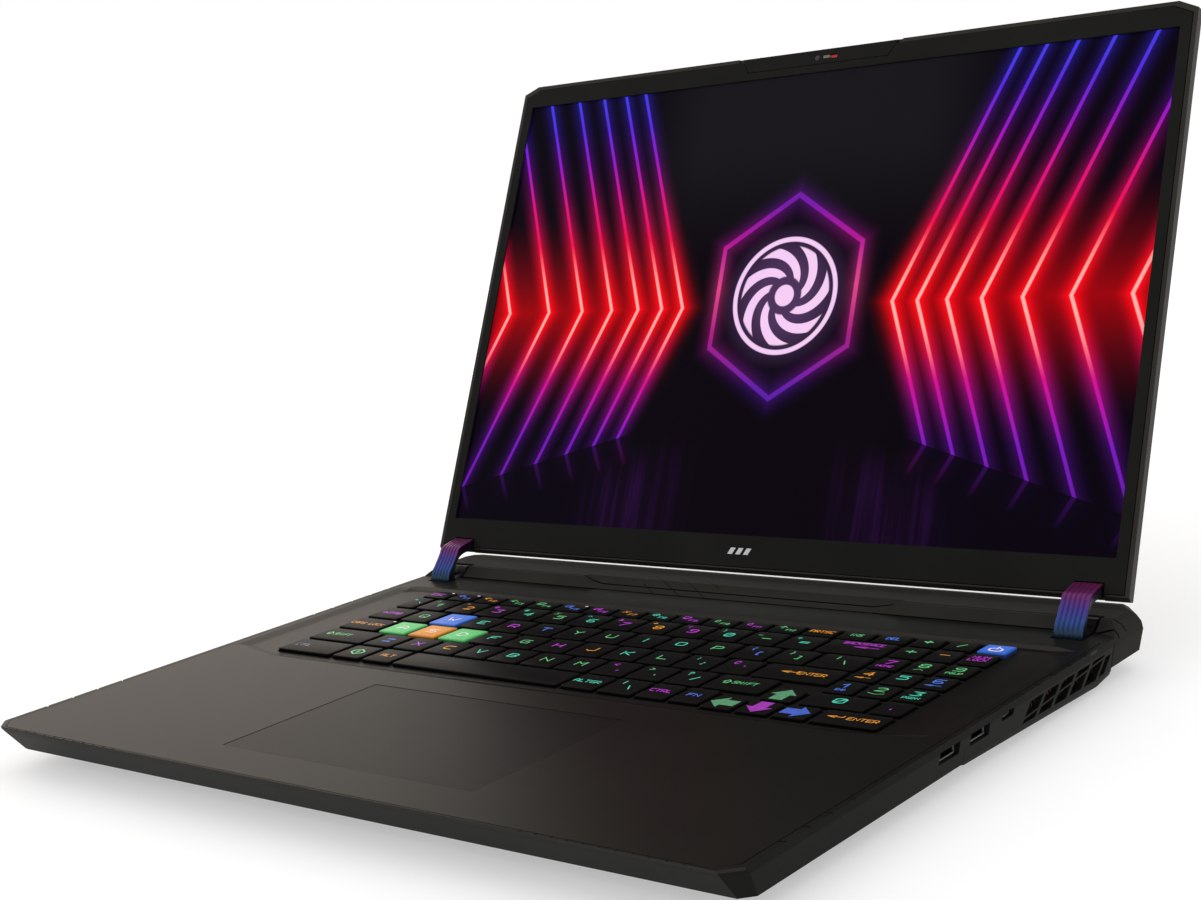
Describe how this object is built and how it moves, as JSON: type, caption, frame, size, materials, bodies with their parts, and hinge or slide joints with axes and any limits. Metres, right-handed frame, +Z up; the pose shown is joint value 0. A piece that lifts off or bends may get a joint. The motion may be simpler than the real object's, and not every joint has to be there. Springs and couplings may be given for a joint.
{
  "type": "laptop computer",
  "caption": "Large gaming laptop, lid opened 115 degrees, with a full lit keyboard and number pad, a wide touchpad, ribbed hinge covers and vented sides.",
  "frame": {"origin": "on the surface the computer stands on, under the middle of its bounding box with the lid open as stored", "axes": "+X to the user's right, +Y away from the user, +Z up"},
  "size_m": [0.3806, 0.3862, 0.2647],
  "materials": {
    "casing": "fine satin grey-brown paint over metal",
    "moulding": "fine matt charcoal moulding",
    "lid_metal": "brushed satin brown-grey metal",
    "bezel": "fine matt black moulding",
    "screen": "lit display with a neon chevron picture",
    "shutter": "matt grey slider with a red patch beside it",
    "hinge_cover": "ribbed metal fading from crimson through violet to teal blue",
    "steel": "bright stamped steel",
    "copper": "bare copper",
    "keyboard": "matt black recess floor",
    "keycaps": "matt black caps with lit coloured legends",
    "clear_keycaps": "translucent caps lit from below in blue, green and orange",
    "socket": "plated steel sockets",
    "rubber": "soft black rubber",
    "board": "dark green circuit board",
    "inner_plastic": "black inner moulding"
  },
  "bodies": {
    "base": {"top_case": "casing", "bottom_cover": "moulding", "rear_cover": "moulding", "keyboard_frame": "keyboard", "keyboard_backplate": "steel", "usb_a_socket_front": "socket", "usb_a_socket_rear": "socket", "usb_c_socket": "socket", "power_inlet": "socket", "mainboard": "board", "heat_pipes": "copper", "memory_module": "board", "solid_state_drive": "board", "battery_pack": "inner_plastic", "speaker_right": "inner_plastic", "speaker_left": "inner_plastic", "heat_sink_right": "copper", "heat_sink_left": "copper", "fan_housing_right": "inner_plastic", "fan_housing_left": "inner_plastic", "rear_foot": "rubber", "front_foot_right": "rubber", "front_foot_left": "rubber", "hinge_bracket_right": "steel", "hinge_bracket_left": "steel"},
    "lid": {"lid_cover": "lid_metal", "display_bezel": "bezel", "display_panel": "screen", "webcam_module": "bezel", "hinge_arm_right": "steel", "hinge_arm_left": "steel", "hinge_cover_right": "hinge_cover", "hinge_cover_left": "hinge_cover"},
    "touchpad": {"touchpad": "casing"},
    "webcam_shutter": {"webcam_shutter": "shutter"},
    "fan_impeller_right": {"fan_impeller_right": "inner_plastic"},
    "fan_impeller_left": {"fan_impeller_left": "inner_plastic"},
    "power_key": {"power_key": "clear_keycaps"},
    "escape_key": {"escape_key": "keycaps"},
    "backspace_key": {"backspace_key": "keycaps"},
    "enter_key": {"enter_key": "keycaps"},
    "left_shift_key": {"left_shift_key": "keycaps"},
    "space_bar": {"space_bar": "keycaps"},
    "w_key": {"w_key": "clear_keycaps"},
    "a_key": {"a_key": "clear_keycaps"},
    "s_key": {"s_key": "clear_keycaps"},
    "d_key": {"d_key": "clear_keycaps"},
    "arrow_up_key": {"arrow_up_key": "keycaps"},
    "arrow_left_key": {"arrow_left_key": "keycaps"},
    "arrow_down_key": {"arrow_down_key": "keycaps"},
    "arrow_right_key": {"arrow_right_key": "keycaps"},
    "number_pad_enter_key": {"number_pad_enter_key": "keycaps"},
    "function_keys": {"function_keys": "keycaps"},
    "number_keys": {"number_keys": "keycaps"},
    "upper_letter_keys": {"upper_letter_keys": "keycaps"},
    "home_row_keys": {"home_row_keys": "keycaps"},
    "lower_letter_keys": {"lower_letter_keys": "keycaps"},
    "modifier_keys": {"modifier_keys": "keycaps"},
    "number_pad_keys": {"number_pad_keys": "keycaps"}
  },
  "joints": [
    {"name": "lid_hinge", "type": "hinge", "parent": "base", "child": "lid", "pos_m": [0, 0.07519, 0.0213], "axis": [-1, 0, 0], "range_deg": [-115, 20]},
    {"name": "touchpad_press", "type": "hinge", "parent": "base", "child": "touchpad", "pos_m": [0, -0.08961, 0.0184], "axis": [1, 0, 0], "range_deg": [0, 0.35], "stiffness_Nm_per_rad": 15, "springref_deg": -0.11},
    {"name": "webcam_shutter_slide", "type": "slide", "parent": "lid", "child": "webcam_shutter", "axis": [1, 0, 0], "range_m": [0, 0.0039]},
    {"name": "fan_right_spin", "type": "hinge", "parent": "base", "child": "fan_impeller_right", "pos_m": [0.127, 0.03789, 0.009], "axis": [0, 0, 1], "continuous": true},
    {"name": "fan_left_spin", "type": "hinge", "parent": "base", "child": "fan_impeller_left", "pos_m": [-0.127, 0.03789, 0.009], "axis": [0, 0, -1], "continuous": true},
    {"name": "power_key_press", "type": "slide", "parent": "base", "child": "power_key", "axis": [0, 0, -1], "range_m": [0, 0.0016], "stiffness_N_per_m": 350, "springref_m": -0.0006},
    {"name": "escape_key_press", "type": "slide", "parent": "base", "child": "escape_key", "axis": [0, 0, -1], "range_m": [0, 0.0016], "stiffness_N_per_m": 350, "springref_m": -0.0006},
    {"name": "backspace_key_press", "type": "slide", "parent": "base", "child": "backspace_key", "axis": [0, 0, -1], "range_m": [0, 0.0016], "stiffness_N_per_m": 350, "springref_m": -0.0006},
    {"name": "enter_key_press", "type": "slide", "parent": "base", "child": "enter_key", "axis": [0, 0, -1], "range_m": [0, 0.0016], "stiffness_N_per_m": 350, "springref_m": -0.0006},
    {"name": "left_shift_key_press", "type": "slide", "parent": "base", "child": "left_shift_key", "axis": [0, 0, -1], "range_m": [0, 0.0016], "stiffness_N_per_m": 350, "springref_m": -0.0006},
    {"name": "space_bar_press", "type": "slide", "parent": "base", "child": "space_bar", "axis": [0, 0, -1], "range_m": [0, 0.0016], "stiffness_N_per_m": 350, "springref_m": -0.0006},
    {"name": "w_key_press", "type": "slide", "parent": "base", "child": "w_key", "axis": [0, 0, -1], "range_m": [0, 0.0016], "stiffness_N_per_m": 350, "springref_m": -0.0006},
    {"name": "a_key_press", "type": "slide", "parent": "base", "child": "a_key", "axis": [0, 0, -1], "range_m": [0, 0.0016], "stiffness_N_per_m": 350, "springref_m": -0.0006},
    {"name": "s_key_press", "type": "slide", "parent": "base", "child": "s_key", "axis": [0, 0, -1], "range_m": [0, 0.0016], "stiffness_N_per_m": 350, "springref_m": -0.0006},
    {"name": "d_key_press", "type": "slide", "parent": "base", "child": "d_key", "axis": [0, 0, -1], "range_m": [0, 0.0016], "stiffness_N_per_m": 350, "springref_m": -0.0006},
    {"name": "arrow_up_key_press", "type": "slide", "parent": "base", "child": "arrow_up_key", "axis": [0, 0, -1], "range_m": [0, 0.0016], "stiffness_N_per_m": 350, "springref_m": -0.0006},
    {"name": "arrow_left_key_press", "type": "slide", "parent": "base", "child": "arrow_left_key", "axis": [0, 0, -1], "range_m": [0, 0.0016], "stiffness_N_per_m": 350, "springref_m": -0.0006},
    {"name": "arrow_down_key_press", "type": "slide", "parent": "base", "child": "arrow_down_key", "axis": [0, 0, -1], "range_m": [0, 0.0016], "stiffness_N_per_m": 350, "springref_m": -0.0006},
    {"name": "arrow_right_key_press", "type": "slide", "parent": "base", "child": "arrow_right_key", "axis": [0, 0, -1], "range_m": [0, 0.0016], "stiffness_N_per_m": 350, "springref_m": -0.0006},
    {"name": "number_pad_enter_key_press", "type": "slide", "parent": "base", "child": "number_pad_enter_key", "axis": [0, 0, -1], "range_m": [0, 0.0016], "stiffness_N_per_m": 350, "springref_m": -0.0006},
    {"name": "function_keys_press", "type": "slide", "parent": "base", "child": "function_keys", "axis": [0, 0, -1], "range_m": [0, 0.0016], "stiffness_N_per_m": 900, "springref_m": -0.0006},
    {"name": "number_keys_press", "type": "slide", "parent": "base", "child": "number_keys", "axis": [0, 0, -1], "range_m": [0, 0.0016], "stiffness_N_per_m": 900, "springref_m": -0.0006},
    {"name": "upper_letter_keys_press", "type": "slide", "parent": "base", "child": "upper_letter_keys", "axis": [0, 0, -1], "range_m": [0, 0.0016], "stiffness_N_per_m": 900, "springref_m": -0.0006},
    {"name": "home_row_keys_press", "type": "slide", "parent": "base", "child": "home_row_keys", "axis": [0, 0, -1], "range_m": [0, 0.0016], "stiffness_N_per_m": 900, "springref_m": -0.0006},
    {"name": "lower_letter_keys_press", "type": "slide", "parent": "base", "child": "lower_letter_keys", "axis": [0, 0, -1], "range_m": [0, 0.0016], "stiffness_N_per_m": 900, "springref_m": -0.0006},
    {"name": "modifier_keys_press", "type": "slide", "parent": "base", "child": "modifier_keys", "axis": [0, 0, -1], "range_m": [0, 0.0016], "stiffness_N_per_m": 900, "springref_m": -0.0006},
    {"name": "number_pad_keys_press", "type": "slide", "parent": "base", "child": "number_pad_keys", "axis": [0, 0, -1], "range_m": [0, 0.0016], "stiffness_N_per_m": 900, "springref_m": -0.0006}
  ]
}
